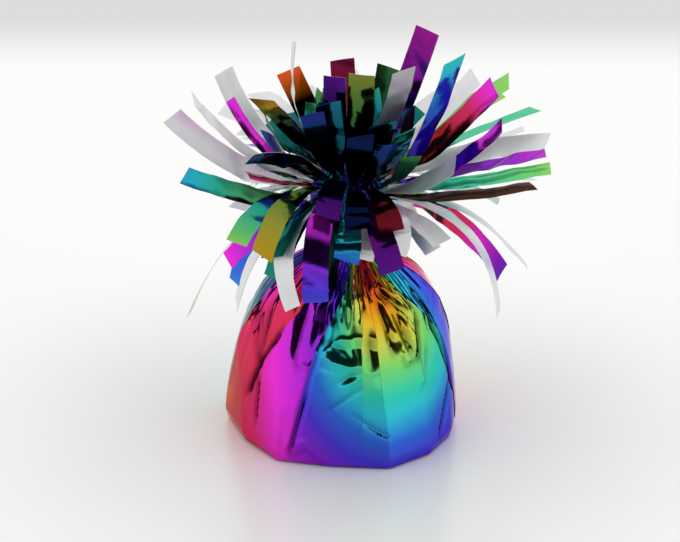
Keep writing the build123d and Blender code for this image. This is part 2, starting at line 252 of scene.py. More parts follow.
class Strip:
    """The run of one strip of the fringe, from its root on the crown to its tip."""

    def __init__(self, azimuth, elevation, reach, tip, turn, swing=None):
        self.azimuth, self.elevation, self.turn, self.swing = azimuth, elevation, turn, swing
        start = direction(azimuth, elevation)
        self.root = CROWN_MIDDLE + start * ROOT_REACH
        self.bend = self.root + start * reach
        self.tip = CROWN_MIDDLE + np.array(tip, float)
        self.level = np.array([-math.sin(math.radians(azimuth)), math.cos(math.radians(azimuth)), 0.0])
        self.lift_axis = -self.level

    def stations(self, shares):
        """Middles, half widths as vectors, and unit normals at shares of the way to the tip."""
        t = np.asarray(shares, float)[:, None]
        middles = (1 - t) ** 2 * self.root + 2 * t * (1 - t) * self.bend + t**2 * self.tip
        runs = unit((1 - t) * (self.bend - self.root) + t * (self.tip - self.bend))
        level = unit(self.level - runs * (runs @ self.level)[:, None])
        across = turned(level, runs, self.turn * np.minimum(1.0, t[:, 0] / TURN_SHARE))
        opened = np.minimum(1.0, np.linalg.norm(middles - self.root, axis=1) / SPREAD_LENGTH)
        half = (ROOT_WIDTH + (STRIP_WIDTH - ROOT_WIDTH) * opened) / 2
        return middles, across * half[:, None], np.cross(runs, across)

    def samples(self, swing=0.0):
        """Points over the strip, with its root swung by an angle."""
        middles, halves, _ = self.stations(np.linspace(0, 1, SAMPLES_ALONG))
        points = middles[:, None] + halves[:, None] * np.linspace(-1, 1, SAMPLES_ACROSS)[None, :, None]
        return self.root + turned(points.reshape(-1, 3) - self.root, self.lift_axis, swing)

    def reached(self):
        """Points over the strip at rest and at both ends of its swing."""
        return np.vstack([self.samples(angle) for angle in (0.0, *(self.swing or ()))])


def clears(points, taken, gap):
    """True if a strip's points keep clear of the wrap and of the points already taken."""
    radius = np.hypot(points[:, 0] - NECK_LEAN, points[:, 1])
    wrap = np.interp(points[:, 2], CLEAR_HEIGHTS, CLEAR_RADII) + NECK_LEAN
    wrap = np.where(points[:, 2] < NECK_TOP, wrap, 0.0)
    if np.any(radius < wrap + WRAP_CLEARANCE):
        return False
    low, high = points.min(axis=0) - gap, points.max(axis=0) + gap
    near = taken[np.all((taken > low) & (taken < high), axis=1)]
    squares = (points**2).sum(axis=1)[:, None] + (near**2).sum(axis=1)[None, :] - 2 * points @ near.T
    return squares.size == 0 or squares.min() > gap**2


def front_candidates(count, spread, first, last, lifts):
    """Strips over the front of the crown, from a first to a last elevation, each tried at several lifts."""
    for index in range(count):
        aside = spread * (2 * ((index * GOLDEN_ANGLE / 360) % 1) - 1)
        azimuth = (FRONT_AZIMUTH + aside) % 360
        elevation = first + (last - first) * index / (count - 1)
        length = FRONT_LENGTH + FRONT_LENGTH_VARIES * math.sin(index)
        for lift in lifts:
            tip = direction(azimuth, min(FRONT_HIGHEST_TIP, elevation + lift)) * (CROWN_RADIUS + length)
            yield Strip(azimuth, elevation, FRONT_REACH, tip, FRONT_TURN * math.sin(2 * index))


def inner_candidates():
    """Strips spread evenly round the crown, from its top down."""
    high = math.sin(math.radians(INNER_HIGHEST))
    for index in range(INNER_CANDIDATES):
        azimuth = (index * GOLDEN_ANGLE) % 360
        lowest = INNER_LOWEST - INNER_BACK_DROP * max(0.0, math.sin(math.radians(azimuth)))
        low = math.sin(math.radians(lowest))
        elevation = math.degrees(math.asin(high - (high - low) * index / (INNER_CANDIDATES - 1)))
        length = INNER_LENGTH + INNER_LENGTH_VARIES * math.sin(index)
        droop = INNER_DROOP * math.cos(math.radians(elevation))
        tip = direction(azimuth, elevation - droop) * (CROWN_RADIUS + length)
        yield Strip(azimuth, elevation, INNER_REACH, tip, INNER_TURN * math.sin(2 * index))


def inner_strips(taken):
    """The strips that fill the crown, wherever they clear all that stands there already."""
    rising = front_candidates(RISING_CANDIDATES, RISING_SPREAD, RISING_FIRST, RISING_LAST, RISING_LIFTS)
    hanging = front_candidates(
        HANGING_CANDIDATES, HANGING_SPREAD, HANGING_FIRST, HANGING_LAST, HANGING_LIFTS
    )
    kept = []
    for candidates in (rising, hanging, inner_candidates()):
        for strip in candidates:
            points = strip.samples()
            at_root = points[:SAMPLES_AT_ROOT]
            if clears(at_root, taken, STRIP_CLEARANCE) and clears(points, taken, STRIP_CLEARANCE):
                taken = np.vstack([taken, points])
                kept.append(strip)
    return kept


def half_of(strip):
    return INNER_HALVES[int(strip.azimuth // 180)]


# Finishes

def linear(red, green, blue):
    """A screen colour, 0 to 255, as the linear colour that a shader takes."""
    shares = np.array([red, green, blue]) / 255
    lin = np.where(shares <= 0.04045, shares / 12.92, ((shares + 0.055) / 1.055) ** 2.4)
    return (*lin, 1.0)


# The print: place in the rainbow and screen colour
RAINBOW = [
    (0.00, (205, 50, 55)),
    (0.10, (220, 50, 110)),
    (0.17, (230, 50, 210)),
    (0.27, (150, 40, 210)),
    (0.36, (80, 60, 220)),
    (0.44, (50, 110, 220)),
    (0.52, (50, 190, 210)),
    (0.58, (50, 200, 170)),
    (0.66, (110, 210, 110)),
    (0.74, (200, 205, 80)),
    (0.80, (225, 180, 40)),
    (0.88, (230, 120, 30)),
    (0.95, (220, 70, 40)),
    (1.00, (205, 50, 55)),
]

# Sockets of a colour mix: first colour, second colour and result
MIX_FIRST, MIX_SECOND, MIX_RESULT = 6, 7, 2


def new_material(name):
    material = bpy.data.materials.new(name)
    material.use_nodes = True
    nodes = material.node_tree.nodes
    return material, nodes, material.node_tree.links, nodes["Principled BSDF"]


def add_node(nodes, kind, **settings):
    node = nodes.new(kind)
    for name, value in settings.items():
        if name in node.inputs:
            node.inputs[name].default_value = value
        else:
            setattr(node, name, value)
    return node


def map_range(nodes, start=(0.0, 1.0), to=(0.0, 1.0), kind="LINEAR"):
    node = add_node(nodes, "ShaderNodeMapRange", interpolation_type=kind)
    node.inputs["From Min"].default_value, node.inputs["From Max"].default_value = start
    node.inputs["To Min"].default_value, node.inputs["To Max"].default_value = to
    return node


def crinkle(nodes, links, shader, scale, strength, distance):
    """Creasing of thin film as a bump: broad waves with fine wrinkles on them."""
    place = add_node(nodes, "ShaderNodeTexCoord")
    waves = add_node(nodes, "ShaderNodeTexNoise", Scale=scale * 0.3, Detail=1.0, Roughness=0.4)
    grain = add_node(nodes, "ShaderNodeTexNoise", Scale=scale * 2.5, Detail=2.0, Roughness=0.5)
    both = add_node(nodes, "ShaderNodeMath", operation="MULTIPLY_ADD")
    both.inputs[1].default_value = 0.04
    bump = add_node(nodes, "ShaderNodeBump", Strength=strength, Distance=distance)
    links.new(place.outputs["Object"], waves.inputs["Vector"])
    links.new(place.outputs["Object"], grain.inputs["Vector"])
    links.new(grain.outputs["Fac"], both.inputs[0])
    links.new(waves.outputs["Fac"], both.inputs[2])
    links.new(both.outputs["Value"], bump.inputs["Height"])
    links.new(bump.outputs["Normal"], shader.inputs["Normal"])
    return place


def rainbow_film(name, roughness, bump):
    """Metallised film with a rainbow print. The first UV axis is the place in the rainbow, which repeats,
    and the second one is painted shade: how far the print is mixed towards black."""
    material, nodes, links, shader = new_material(name)
    shader.inputs["Metallic"].default_value = 1.0
    place = crinkle(nodes, links, shader, 260.0, bump, 0.002)
    split = add_node(nodes, "ShaderNodeSeparateXYZ")
    blot = add_node(nodes, "ShaderNodeTexNoise", Scale=70.0, Detail=2.0)
    drift = add_node(nodes, "ShaderNodeMath", operation="MULTIPLY_ADD")
    drift.inputs[1].default_value = 0.03
    wrap_round = add_node(nodes, "ShaderNodeMath", operation="FRACT")
    ramp = add_node(nodes, "ShaderNodeValToRGB")
    stops = ramp.color_ramp.elements
    for at, colour in RAINBOW[1:-1]:
        stops.new(at).color = linear(*colour)
    stops[0].color = linear(*RAINBOW[0][1])
    stops[len(stops) - 1].color = linear(*RAINBOW[-1][1])
    gloss = map_range(nodes, to=(roughness * 0.7, roughness * 1.4))
    links.new(place.outputs["UV"], split.inputs["Vector"])
    links.new(place.outputs["Object"], blot.inputs["Vector"])
    links.new(blot.outputs["Fac"], drift.inputs[0])
    links.new(split.outputs["X"], drift.inputs[2])
    links.new(drift.outputs["Value"], wrap_round.inputs[0])
    links.new(wrap_round.outputs["Value"], ramp.inputs["Fac"])
    # Painted shade: the print's colour is mixed towards black by the second UV axis.
    depth = add_node(nodes, "ShaderNodeMix", data_type="RGBA")
    depth.inputs[MIX_FIRST].default_value = (0.0, 0.0, 0.0, 1.0)
    links.new(split.outputs["Y"], depth.inputs["Factor"])
    links.new(ramp.outputs["Color"], depth.inputs[MIX_SECOND])
    links.new(depth.outputs[MIX_RESULT], shader.inputs["Base Color"])
    rim = add_node(nodes, "ShaderNodeMix", data_type="RGBA")
    rim.inputs["Factor"].default_value = 0.4
    rim.inputs[MIX_FIRST].default_value = (1.0, 1.0, 1.0, 1.0)
    links.new(depth.outputs[MIX_RESULT], rim.inputs[MIX_SECOND])
    links.new(rim.outputs[MIX_RESULT], shader.inputs["Specular Tint"])
    links.new(blot.outputs["Fac"], gloss.inputs["Value"])
    links.new(gloss.outputs["Result"], shader.inputs["Roughness"])
    return material


def mottle(nodes, links, shader, place, texture, output, first, second):
    """Colour that goes from a first to a second tone with a texture's output."""
    tone = add_node(nodes, "ShaderNodeMix", data_type="RGBA")
    tone.inputs[MIX_FIRST].default_value = linear(*first)
    tone.inputs[MIX_SECOND].default_value = linear(*second)
    links.new(place.outputs["Object"], texture.inputs["Vector"])
    links.new(texture.outputs[output], tone.inputs["Factor"])
    links.new(tone.outputs[MIX_RESULT], shader.inputs["Base Color"])


def silver_film():
    """The bare back of the film: metallised, a little cloudy."""
    material, nodes, links, shader = new_material("silver_film")
    shader.inputs["Metallic"].default_value = 0.65
    place = crinkle(nodes, links, shader, 240.0, 0.35, 0.002)
    cloud = add_node(nodes, "ShaderNodeTexNoise", Scale=90.0, Detail=3.0)
    mottle(nodes, links, shader, place, cloud, "Fac", (214, 215, 217), (246, 246, 247))
    gloss = map_range(nodes, to=(0.28, 0.46))
    links.new(cloud.outputs["Fac"], gloss.inputs["Value"])
    links.new(gloss.outputs["Result"], shader.inputs["Roughness"])
    return material


def tie_finish():
    """Twist tie: metallised ribbon over a wire."""
    material, nodes, links, shader = new_material("tie_strip")
    shader.inputs["Metallic"].default_value = 1.0
    shader.inputs["Roughness"].default_value = 0.32
    place = crinkle(nodes, links, shader, 500.0, 0.25, 0.0005)
    cloud = add_node(nodes, "ShaderNodeTexNoise", Scale=300.0, Detail=2.0)
    mottle(nodes, links, shader, place, cloud, "Fac", (176, 178, 182), (226, 227, 230))
    return material


def casting_finish():
    """Cast mineral ballast: off-white, matte and pitted."""
    material, nodes, links, shader = new_material("slug_casting")
    shader.inputs["Roughness"].default_value = 0.85
    place = crinkle(nodes, links, shader, 420.0, 0.5, 0.001)
    pits = add_node(nodes, "ShaderNodeTexVoronoi", Scale=380.0)
    mottle(nodes, links, shader, place, pits, "Distance", (170, 166, 158), (214, 211, 204))
    return material


# Modelling

def deselect():
    bpy.ops.object.select_all(action="DESELECT")


def add_film(name, across, along):
    """A flat square of film, two units wide, divided across and along."""
    deselect()
    bpy.ops.mesh.primitive_grid_add(x_subdivisions=across, y_subdivisions=along, size=2)
    piece = bpy.context.object
    piece.name = name
    piece.data.name = name
    return piece


def film_places(piece):
    """Each point's place across the film, -1 to 1, and along it, 0 to 1."""
    flat = np.empty(3 * len(piece.data.vertices))
    piece.data.vertices.foreach_get("co", flat)
    return flat[0::3].copy(), (flat[1::3] + 1) / 2


def lay_film(piece, points, phase, light):
    """Moves the film's points to their places, and writes the print and its painted shade into its UV map.
    """
    mesh = piece.data
    mesh.vertices.foreach_set("co", (points * MM).ravel())
    corners = np.empty(len(mesh.loops), int)
    mesh.loops.foreach_get("vertex_index", corners)
    uv = np.column_stack([phase[corners], light[corners]])
    mesh.uv_layers.active.data.foreach_set("uv", uv.ravel())
    mesh.update()


def thicken(piece, thickness):
    """Gives film its two sides: the second side takes the next finish."""
    bpy.context.view_layer.objects.active = piece
    wall = piece.modifiers.new("film", "SOLIDIFY")
    wall.thickness = thickness * MM
    wall.offset = 0.0
    wall.material_offset = 1
    wall.material_offset_rim = 1
    bpy.ops.object.modifier_apply(modifier=wall.name)


def close_seams():
    """Joins the points of the new film that lie on each other, where it meets itself and at its pole."""
    bpy.ops.object.mode_set(mode="EDIT")
    bpy.ops.mesh.select_all(action="SELECT")
    bpy.ops.mesh.remove_doubles(threshold=1e-6)
    bpy.ops.object.mode_set(mode="OBJECT")


def smooth(piece, degrees):
    deselect()
    piece.select_set(True)
    bpy.context.view_layer.objects.active = piece
    bpy.ops.object.shade_smooth_by_angle(angle=math.radians(degrees))


def make_strip(name, strip, face, root, tip, light, dice, rows, fold=None, crease=False):
    """One strip of film along its run, gathered at the root, with a few soft kinks. Beyond a fold the
    strip shows its other side, and so does one half of a creased strip. Doubled film shows its print on
    both sides. Root and tip are places in the rainbow."""
    piece = add_film(name, STRIP_COLUMNS, rows)
    across, share = film_places(piece)
    cut = dice.uniform(-TIP_SLANT, TIP_SLANT)
    run = share * (1 + cut * across * share)
    middles, halves, normals = strip.stations(np.clip(run, 0, 1))
    over = np.maximum(0.0, run - 1)[:, None] * (strip.tip - strip.bend) * 2
    opened = np.minimum(1.0, share / TURN_SHARE)
    lift = ROOT_CUP * (1 - opened) * np.abs(across)
    lift += dice.uniform(-STRIP_CUP, STRIP_CUP) * (across**2 - 0.4) * opened
    for _ in range(KINK_COUNT):
        at, slant = dice.uniform(0.25, 0.97), dice.uniform(-KINK_SLANT, KINK_SLANT)
        size = dice.uniform(-KINK_SIZE, KINK_SIZE)
        lift += size * np.maximum(0.0, 1 - np.abs(share + slant * across - at) / KINK_HALF)
    if crease:
        lift += CREASE_DEPTH * (np.abs(across) - 0.5) * opened
    points = middles + over + halves * across[:, None] + normals * lift[:, None]
    phase = root + (tip - root) * share**2
    # Painted shade: how light the print stays, from the root's value to the tip's.
    lay_film(piece, points, phase, light[0] + (light[1] - light[0]) * share**1.3)
    inside = film_finish if face == "doubled" else silver_finish
    for finish in (film_finish, inside, film_finish):
        piece.data.materials.append(finish)
    away = float(strip.stations([0.75])[2][0] @ TO_CAMERA) < 0
    first = 0 if (face == "print") == away else 1
    for facet in piece.data.polygons:
        corners = list(facet.vertices)
        place, side = share[corners].mean(), across[corners].mean()
        other = fold is not None and place > fold
        if crease:
            other = place > CREASE_LAST or place > CREASE_FIRST and side < 0
        facet.material_index = 1 - first if other else first
    thicken(piece, FILM_THICKNESS)
    smooth(piece, 40)
    return piece


def inner_look(strip, half, dice):
    """The side that an inner strip shows, its places in the rainbow at the root and at the tip, the painted
    shade on its print, and its fold. The front of the crown is painted dark as shade, and so are the roots
    of the upper back."""
    pick = dice.random()
    if half == "front":
        root, tip = dice.uniform(*DARK_ROOTS), dice.uniform(*DARK_TIPS)
        aside = min(1.0, abs(strip.azimuth - FRONT_AZIMUTH) / HANGING_SPREAD)
        # Painted shade: dark roots, with tips a little lighter further aside from the front; the red strips
        # below get it too.
        light = (DEEP_PAINTED_SHADE, dice.uniform(0.06, 0.2) + 0.3 * aside)
        if strip.elevation < HANGING_FIRST and strip.azimuth > SILVER_FROM:
            return "silver", root, tip, light, None
        if strip.elevation < HANGING_FIRST and strip.azimuth > FRONT_AZIMUTH:
            return "doubled", *PURPLE, light, None
        if strip.elevation < RED_BELOW and strip.azimuth < RED_UP_TO:
            return "doubled", *RED, (0.1, 0.9), None
        return "doubled", root, tip, light, None
    if strip.elevation > DARK_BACK_ABOVE:
        # Painted shade: the roots of the upper back are painted nearly black.
        light, fold = (DEEP_PAINTED_SHADE, 0.3 + 0.3 * pick), 0.5 + 0.15 * pick
        return "print", 0.38 + 0.2 * pick, 0.36 + 0.32 * pick, light, fold
    phase = math.cos(math.radians(strip.azimuth + RAINBOW_TURN)) / RAINBOW_PERIOD
    face = "print" if pick < BACK_PRINT_SHARE else "silver"
    return face, ROOT_ON_SHEET * phase, TIP_ON_SHEET * phase, BACK_PAINTED_SHADE, None


def join(pieces, name):
    deselect()
    for piece in pieces:
        piece.select_set(True)
    bpy.context.view_layer.objects.active = pieces[0]
    bpy.ops.object.join()
    joined = bpy.context.object
    joined.name = name
    joined.data.name = name
    return joined


# Foil wrap: profile over the ridges, height and radius
WRAP_PROFILE = [
    (0.0, 30.0),
    (0.9, 31.5),
    (2.5, 32.4),
    (8.0, 32.1),
    (15.0, 31.4),
    (22.0, 30.5),
    (28.0, 29.4),
    (31.0, 28.5),
    (34.0, 27.2),
    (37.0, 26.0),
    (40.0, 24.2),
    (44.0, 21.0),
    (46.5, 18.2),
    (49.0, 14.4),
    (51.0, 11.2),
    (53.0, 9.4),
    (55.5, 8.5),
    (58.0, 8.8),
]

# Corners of the base, azimuth and radius: the hem runs straight from each to the next
BASE_CORNERS = [
    (2, 32.6),
    (30, 33.0),
    (60, 32.0),
    (92, 33.0),
    (122, 32.2),
    (150, 33.0),
    (178, 33.4),
    (208, 31.4),
    (236, 33.2),
    (264, 31.6),
    (292, 35.4),
    (316, 34.3),
    (338, 33.2),
]

# Pleats, each a fold whose right panel lies over the left one: azimuth of its edge at the hem, at the
# shoulder and at the neck, azimuth of its middle on the flat sheet, height where it dies out, width of the
# film tucked under it at the neck, and how light the print is painted on the panel right of it, as painted
# shade
Pleat = namedtuple("Pleat", "hem shoulder gather flat low tuck light")
PLEATS = [
    Pleat(-118, -106, -90, -120, -4, 12, 1.0),
    Pleat(-80, -81, -78, -80, 4, 9, 1.0),
    Pleat(-68, -72, -75, -66, 6, 7, 1.0),
    Pleat(-46, -45, -66, -45, 22, 11, 1.0),
    Pleat(-8, -25, -55, -16, -4, 12, 1.0),
    Pleat(14, 4, -15, 14, 6, 12, 1.0),
    Pleat(38, 30, 15, 38, 10, 12, 1.0),
    Pleat(65, 58, 45, 65, 2, 12, 1.0),
    Pleat(92, 88, 80, 92, 12, 12, 1.0),
    Pleat(118, 115, 110, 118, 6, 12, 1.0),
    Pleat(136, 138, 140, 140, 14, 12, 1.0),
    # Painted shade: the panel right of this pleat is painted darker.
    Pleat(154, 163, 168, 160, 8, 12, 0.35),
    Pleat(176, 195, 200, 194, 10, 40, 1.0),
    Pleat(206, 227, 250, 217, 18, 11, 1.0),
]

# Heights of a pleat's three azimuths, and other sizes of the wrap
HEM_HEIGHT = 2.5
SHOULDER_HEIGHT = 34.0
GATHER_HEIGHT = 50.0
SHOULDER_RADIUS = 27.0
BASE_RADIUS = 32.5
CORNER_HEIGHT = 26.0  # the base's corners have died out here
FLOOR_RADII = np.array([0.0, 9.0, 18.0, 25.0, 29.6])
FOOT_HEIGHTS = [0.4, 1.0, 1.7]
SIDE_ROWS = 124
COLUMN_WIDTH = 0.5
LEAST_COLUMNS = 6
TUCK_COLUMNS = 5
EDGE_LIFT = 0.16
LIFT_WIDTH = 3.5
LEAST_REACH = 20.0  # nearer the sheet's middle than this, the print is not shifted more by the tucks
FULL_TUCK = 2.5  # a fold stands fully where this much film is tucked under it
TUCK_DEPTH = 1.3  # the film tucked under a fold lies this deep, and the film under that one
UNDER_DEPTH = 1.1
SINK_SLOPE = 2.5
# Painted shade in the crease valleys: the share of light the print loses in the deepest ones.
VALLEY_PAINTED_SHADE = 0.9  # how much of its light the print loses in the deepest creases

# How flat the panels are, how much the film flutters and how deep the creases are, by height
FLATNESS = [(2.5, 0.0), (10, 0.15), (22, 0.3), (34, 0.6), (46, 0.6), (52, 0.0)]
DEEPEST_FLAT = 2.4
FLUTTER = [(40, 0.0), (47, 0.15), (52, 0.3), (58, 0.25)]
FLUTTER_WAVES = 37
CREASE_SHARES = [(1.5, 0), (4, 1), (48, 1), (52, 0)]

# Creases in the wrap: azimuth and height of both ends, depth, and half width. Creases that sink are also
# given painted shade in their valleys
CREASES = [
    (-118, 42, -119, 32, -0.8, 1.6),
    (-119, 32, -116, 27, -0.5, 1.4),
    (-120, 29.5, -111, 28.5, 0.6, 1.6),
    (-126, 41, -121, 31, 0.6, 2.0),
    (-112, 44, -111, 33, 0.6, 1.8),
    (-105, 44, -102, 36, -0.6, 1.6),
    (-105, 32, -93, 37, 0.9, 3.5),
    (-93, 37, -80, 37, 0.9, 3.6),
    (-80, 37, -68, 35.5, 0.8, 3.6),
    (-101, 31, -83, 28.5, 0.45, 2.4),
    (-97, 35, -87, 31.5, -0.45, 1.3),
    (-88, 36, -84, 30, 0.45, 1.5),
    (-94, 44, -90, 38, -0.6, 1.6),
    (-86, 45, -85, 39, 0.5, 1.6),
    (-83, 27.5, -91, 25, -0.35, 1.5),
    (-77, 37, -75, 29, -0.6, 2.0),
    (-68, 44, -62, 31, -0.7, 1.5),
    (-62, 42, -53, 27, 0.8, 1.8),
    (-58, 40, -50, 30, -0.8, 1.6),
    (-52, 41, -46, 31, 0.6, 1.5),
    (-40, 39, -47, 28, -1.0, 1.4),
    (-47, 28, -54, 27, -0.5, 1.4),
    (-42, 27, -47, 21, 0.6, 1.5),
    (-38, 31, -44, 24, -0.4, 1.4),
    (-76, 48, -59, 47, 0.6, 1.8),
    (-59, 47, -41, 39, 0.8, 1.6),
    (-66, 46, -48, 41, -0.6, 1.5),
    (-20, 17, -35, 4, -1.2, 1.4),
    (-30, 36, -14, 14, -0.9, 1.8),
    (-34, 44, -25, 34, -0.7, 1.6),
    (-82, 23, -97, 17, -0.3, 1.5),
    (-84, 16, -79, 13.5, -0.35, 1.0),
    (-79, 13.5, -69, 9.5, -0.35, 1.0),
    (-117, 4, -109, 7, 0.35, 1.7),
    (-109, 7, -98, 3, 0.35, 1.7),
    (-115, 2.5, -108, 4.5, -0.35, 1.2),
    (-108, 4.5, -101, 2, -0.35, 1.2),
    (-117, 3, -110, 20, -0.9, 1.2),
    (-110, 20, -105, 33, -0.5, 1.0),
    (-131, 36, -136, 30, -1.1, 1.4),
    (-136, 30, -150, 15, -1.1, 1.3),
    (-140, 22, -141, 8, -0.8, 1.3),
    (-150, 40, -142, 31, -0.7, 1.6),
    (-156, 41, -160, 31, 0.6, 1.8),
]

# Small creases drawn at random, on the back of the shoulder and low all round: count, azimuths, heights of
# the upper end, spread of the lean, lengths, the wrap's radius there, greatest depth, and half widths
RANDOM_CREASES = [
    (30, (-20, 220), (30, 50), 0.35, (9, 20), 24, 0.5, (1.6, 2.6)),
    (14, (-180, 180), (6, 22), 0.4, (6, 14), 31, 0.16, (1.4, 2.4)),
]

# Bunch: gathered film in the neck, with its radius by height, and the ball of film above it
BUNCH_FOOT = 47.5
BUNCH_TOP = 77.7
BUNCH_COLUMNS = 168
BUNCH_PLEATS = 28
BUNCH_PRINT = 0.42
# Painted shade: the whole bunch's print is darkened to this share of its light.
BUNCH_PAINTED_SHADE = 0.3
PLEAT_DEPTH = 0.14
NECK_ROWS = 11
NECK_RADII = [(BUNCH_FOOT, 6.2), (NECK_HEIGHT, 7.0), (NECK_TOP, 6.9)]
BALL_ROWS = 22
BALL_FOOT = 59.0
BALL_TOP = 77.4
BALL_RADIUS = 10.7
BALL_SHARE = 0.94

# Slug: radius at the foot, height, height of its middle, share of the radius left at the top, rim round the
# dish, depth of the dish and rounding of the edges
SLUG_RADIUS = 28.8
SLUG_HEIGHT = 39.5
SLUG_MIDDLE = 20.8
SLUG_TOP_SHARE = 0.66
SLUG_RIM = 4.0
SLUG_DISH = 1.2
SLUG_ROUNDING = 1.8


def at_height(table, height):
    """A table's value at a height, straight between its rows."""
    heights, values = zip(*table)
    return np.interp(height, heights, values)


def wrap_profile(height):
    """Radius over the ridges, with the profile's corners evened out."""
    spread = np.linspace(-1.0, 1.0, 7)
    return np.mean([at_height(WRAP_PROFILE, np.clip(height + s, 0.9, NECK_TOP)) for s in spread], axis=0)


def base_radius(azimuth):
    """Radius of the base's outline, straight between its corners."""
    first_azimuth, first_radius = BASE_CORNERS[0]
    angles, radii = np.array([*BASE_CORNERS, (first_azimuth + 360, first_radius)]).T
    turn = (azimuth - angles[0]) % 360 + angles[0]
    k = np.clip(np.searchsorted(angles, turn, side="right") - 1, 0, len(BASE_CORNERS) - 1)
    before, after = np.radians(turn - angles[k]), np.radians(angles[k + 1] - turn)
    last, following = radii[k], radii[k + 1]
    return last * following * np.sin(before + after) / (last * np.sin(before) + following * np.sin(after))


def pleat_edge(pleat, height):
    """Azimuth of a pleat's edge at a height."""
    edges = [pleat.hem, pleat.shoulder, pleat.gather]
    return np.interp(height, [HEM_HEIGHT, SHOULDER_HEIGHT, GATHER_HEIGHT], edges)


def pleat_tuck(pleat, height):
    """Width of film tucked under a pleat at a height."""
    rise = np.clip((height - pleat.low) / (NECK_HEIGHT - pleat.low), 0, 1)
    return pleat.tuck * rise**0.8


def panel_edges(k, height):
    """Azimuths of both edges of the panel right of a pleat, which may run past a full turn."""
    around = 360 * (k // len(PLEATS))
    beyond = 360 * ((k + 1) // len(PLEATS))
    start = pleat_edge(PLEATS[k % len(PLEATS)], height) + around
    return start, pleat_edge(PLEATS[(k + 1) % len(PLEATS)], height) + beyond


def panel_stand(k, azimuth, height, radius):
    """How far a panel stands out: flatter than the round wrap, and lifted along its folded edge."""
    start, stop = panel_edges(k, height)
    middle, half = (start + stop) / 2, (stop - start) / 2
    off = np.radians(np.clip(azimuth - middle, -half, half))
    stiff = at_height(FLATNESS, height)
    flat = np.minimum(radius * (1 - np.cos(np.radians(half)) / np.cos(off)) * stiff, DEEPEST_FLAT)
    near_edge = np.clip(1 - (azimuth - start) * np.radians(radius) / LIFT_WIDTH, 0, 1)
    held = np.clip(pleat_tuck(PLEATS[k % len(PLEATS)], height) / FULL_TUCK, 0, 1)
    return EDGE_LIFT * near_edge**2 * held - flat


def wrap_creases(azimuth, height, radius, dice):
    """Depth of all creases at places on the wrap, outwards, and the painted shade in their valleys."""
    total, dark = np.zeros_like(azimuth), np.zeros_like(azimuth)
    rows = list(CREASES)
    for count, azimuths, tops, leans, lengths, around, deepest, halves in RANDOM_CREASES:
        for _ in range(count):
            az, z = dice.uniform(*azimuths), dice.uniform(*tops)
            lean, length = dice.normal(0, leans), dice.uniform(*lengths)
            across = math.degrees(lean * length / around)
            depth, half = dice.uniform(-deepest, deepest), dice.uniform(*halves)
            rows.append((az, z, az + across, z - length, depth, half))
    for az0, z0, az1, z1, depth, half in rows:
        turn = np.radians((azimuth - az0 + 180) % 360 - 180) * radius
        reach = math.radians((az1 - az0 + 180) % 360 - 180) * float(wrap_profile(np.array((z0 + z1) / 2)))
        length = math.hypot(reach, z1 - z0)
        along = (turn * reach + (height - z0) * (z1 - z0)) / length
        aside = np.abs(turn * (z1 - z0) - (height - z0) * reach) / length
        end = np.clip(np.minimum(along, length - along) / 4 + 0.5, 0, 1)
        total += depth * np.maximum(0.0, 1 - aside / half) * end
        # Painted shade: creases that sink darken the print along their valleys.
        dark += max(0.0, -depth) * np.maximum(0.0, 1 - aside / half) * end
    return total, np.clip(dark, 0, 1)


def wrap_columns():
    """Columns of the wrap's film in turn: each panel, the film tucked under it, and the film below that."""
    columns = []
    for k in range(len(PLEATS)):
        start, stop = panel_edges(k, SHOULDER_HEIGHT)
        width = math.radians(stop - start) * SHOULDER_RADIUS
        steps = max(LEAST_COLUMNS, int(round(width / COLUMN_WIDTH)))
        columns += [(k, "panel", c / steps) for c in range(steps + 1)]
        columns += [(k, "tuck", c / TUCK_COLUMNS) for c in range(1, TUCK_COLUMNS + 1)]
        columns += [(k, "under", c / TUCK_COLUMNS) for c in range(1, TUCK_COLUMNS)]
    return columns


def fold_column(k, part, along, height, radius, reach):
    """Azimuths of a column's points, their azimuths on the flat print, and how far they stand out."""
    start, stop = panel_edges(k, height)
    left, right = PLEATS[k], PLEATS[(k + 1) % len(PLEATS)]
    tuck = pleat_tuck(right, height)
    begin = left.flat + np.degrees(pleat_tuck(left, height) / reach)
    end = right.flat + 360 * ((k + 1) // len(PLEATS)) - np.degrees(tuck / reach)
    if part == "panel":
        azimuth = start + (stop - start) * along
        return azimuth, begin + (end - begin) * along, panel_stand(k, azimuth, height, radius)
    next_start, next_stop = panel_edges(k + 1, height)
    under = np.minimum(np.degrees(tuck / radius), 0.9 * (next_stop - next_start))
    held = np.clip(tuck / FULL_TUCK, 0, 1)
    if part == "tuck":
        azimuth = stop + under * along
        sink = held * (EDGE_LIFT + TUCK_DEPTH * min(1.0, SINK_SLOPE * along)) + 0.02 * along
    else:
        azimuth = stop + under * (1 - along)
        sink = held * UNDER_DEPTH * min(1.0, SINK_SLOPE * (1 - along)) + 0.01 * (1 - along)
    return azimuth, end, panel_stand(k + 1, azimuth, height, radius) - sink


